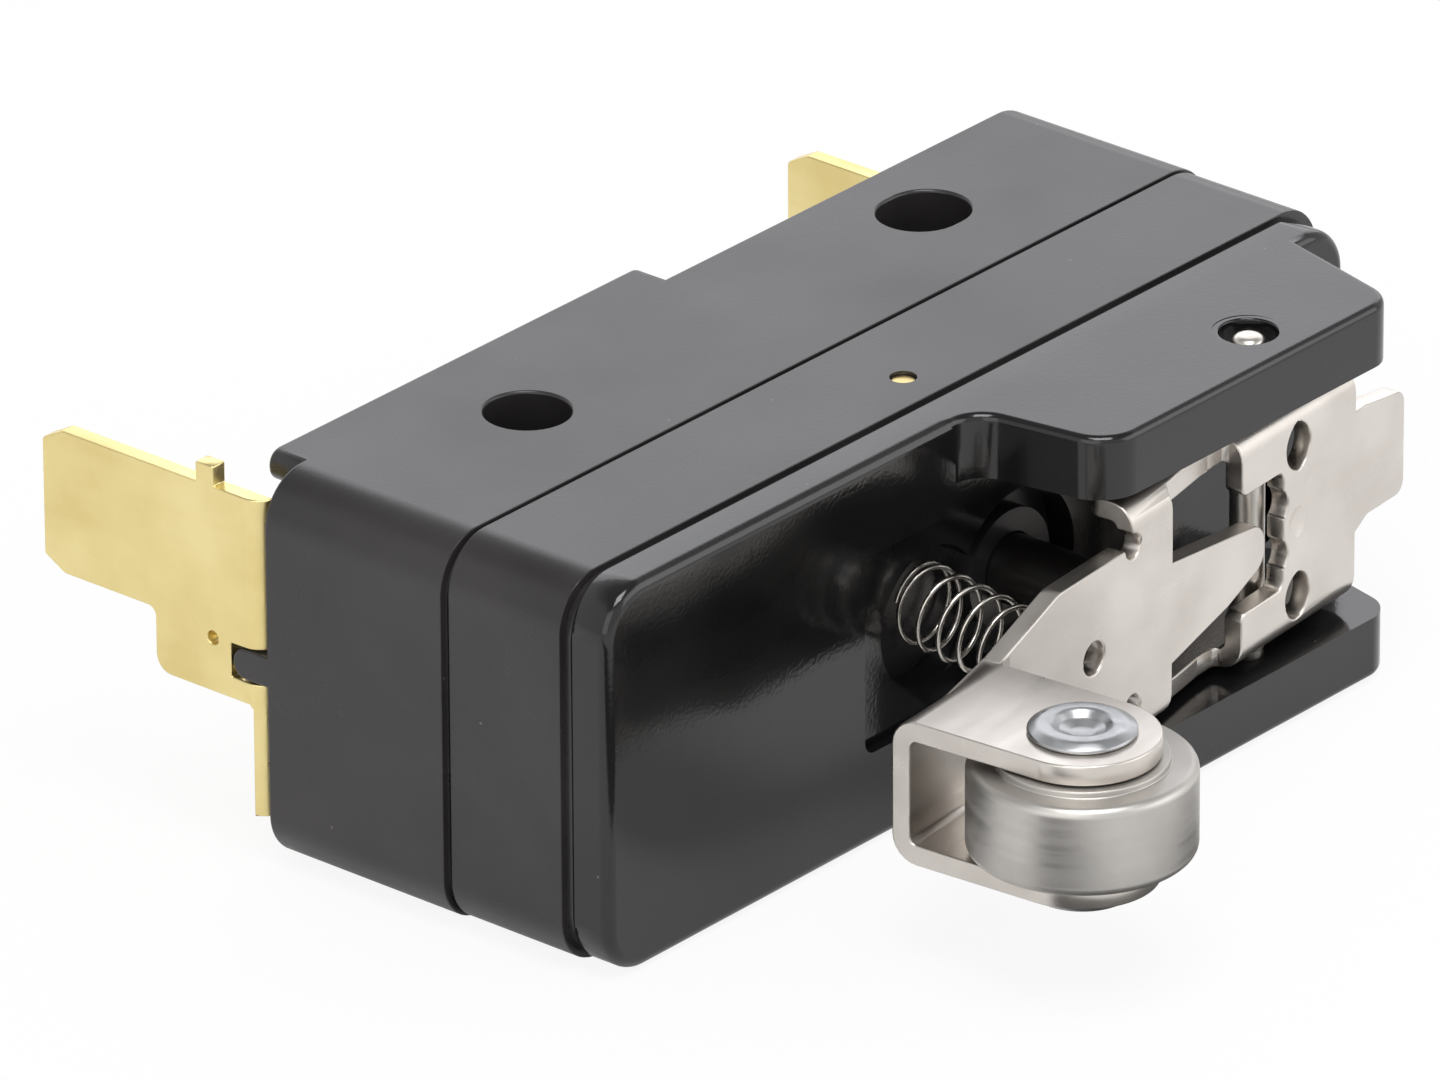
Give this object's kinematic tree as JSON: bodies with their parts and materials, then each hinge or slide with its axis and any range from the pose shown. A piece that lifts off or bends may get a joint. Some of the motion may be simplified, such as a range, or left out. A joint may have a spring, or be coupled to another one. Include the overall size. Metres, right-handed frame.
{
  "type": "micro switch",
  "caption": "Snap-action micro switch in a black moulded case with a sprung roller lever hinged on a pin, brass quick-connect tabs and cross mounting holes.",
  "frame": {"origin": "axis of the round locating hole at the lower side face", "axes": "+X along the case towards the lever's hinge, +Y towards the tabs, +Z along the mounting holes"},
  "size_m": [0.0492, 0.0488, 0.0175],
  "materials": {
    "base_plastic": "satin moulded",
    "cover_plastic": "satin moulded",
    "housing_plastic": "glossy moulded",
    "plunger_plastic": "satin moulded",
    "lever_nickel": "satin nickel plate",
    "roller_steel": "turned",
    "rivet_zinc": "bright zinc plate",
    "hinge_steel": "bright",
    "spring_wire": "drawn wire",
    "tab_brass": "satin",
    "rivet_brass": "satin",
    "carrier_copper": "satin",
    "contact_silver": "satin"
  },
  "bodies": {
    "case": {"base": "base_plastic", "cover": "cover_plastic", "lever_housing": "housing_plastic", "cover_pin_upper": "rivet_brass", "cover_pin_lower": "rivet_brass", "hinge_pin": "hinge_steel", "return_spring": "spring_wire", "terminal_common": "tab_brass", "terminal_normally_open": "tab_brass", "terminal_normally_closed": "tab_brass", "rivet_common": "rivet_brass", "rivet_normally_open": "rivet_brass", "rivet_normally_closed": "rivet_brass", "blade_anchor": "carrier_copper", "contact_strip": "carrier_copper", "contact_bracket": "carrier_copper", "fixed_contact_open": "contact_silver", "fixed_contact_closed": "contact_silver"},
    "lever": {"lever": "lever_nickel", "roller_rivet": "rivet_zinc"},
    "roller": {"roller": "roller_steel"},
    "plunger": {"plunger": "plunger_plastic"},
    "blade": {"snap_blade": "carrier_copper", "moving_contact": "contact_silver"}
  },
  "joints": [
    {"name": "lever_swing", "type": "hinge", "parent": "case", "child": "lever", "pos_m": [0.025, -0.0178, 0.00875], "axis": [0, 0, -1], "range_deg": [0, 11.5], "stiffness_Nm_per_rad": 0.1, "springref_deg": -8.59, "deforming": ["return_spring"]},
    {"name": "roller_spin", "type": "hinge", "parent": "lever", "child": "roller", "pos_m": [0.00184, -0.02792, 0.00775], "axis": [0, 0, 1], "continuous": true},
    {"name": "plunger_slide", "type": "slide", "parent": "case", "child": "plunger", "axis": [0, 1, 0], "range_m": [0, 0.00198]},
    {"name": "blade_tip", "type": "hinge", "parent": "case", "child": "blade", "pos_m": [-0.0034, -0.00645, 0.00875], "axis": [0, 0, 1], "range_deg": [0, 1.8]}
  ],
  "couplings": [
    {"joint": "plunger_slide", "follows": "lever_swing", "m_per_rad": 0.0098},
    {"joint": "blade_tip", "follows": "lever_swing", "ratio": 0.15621}
  ]
}
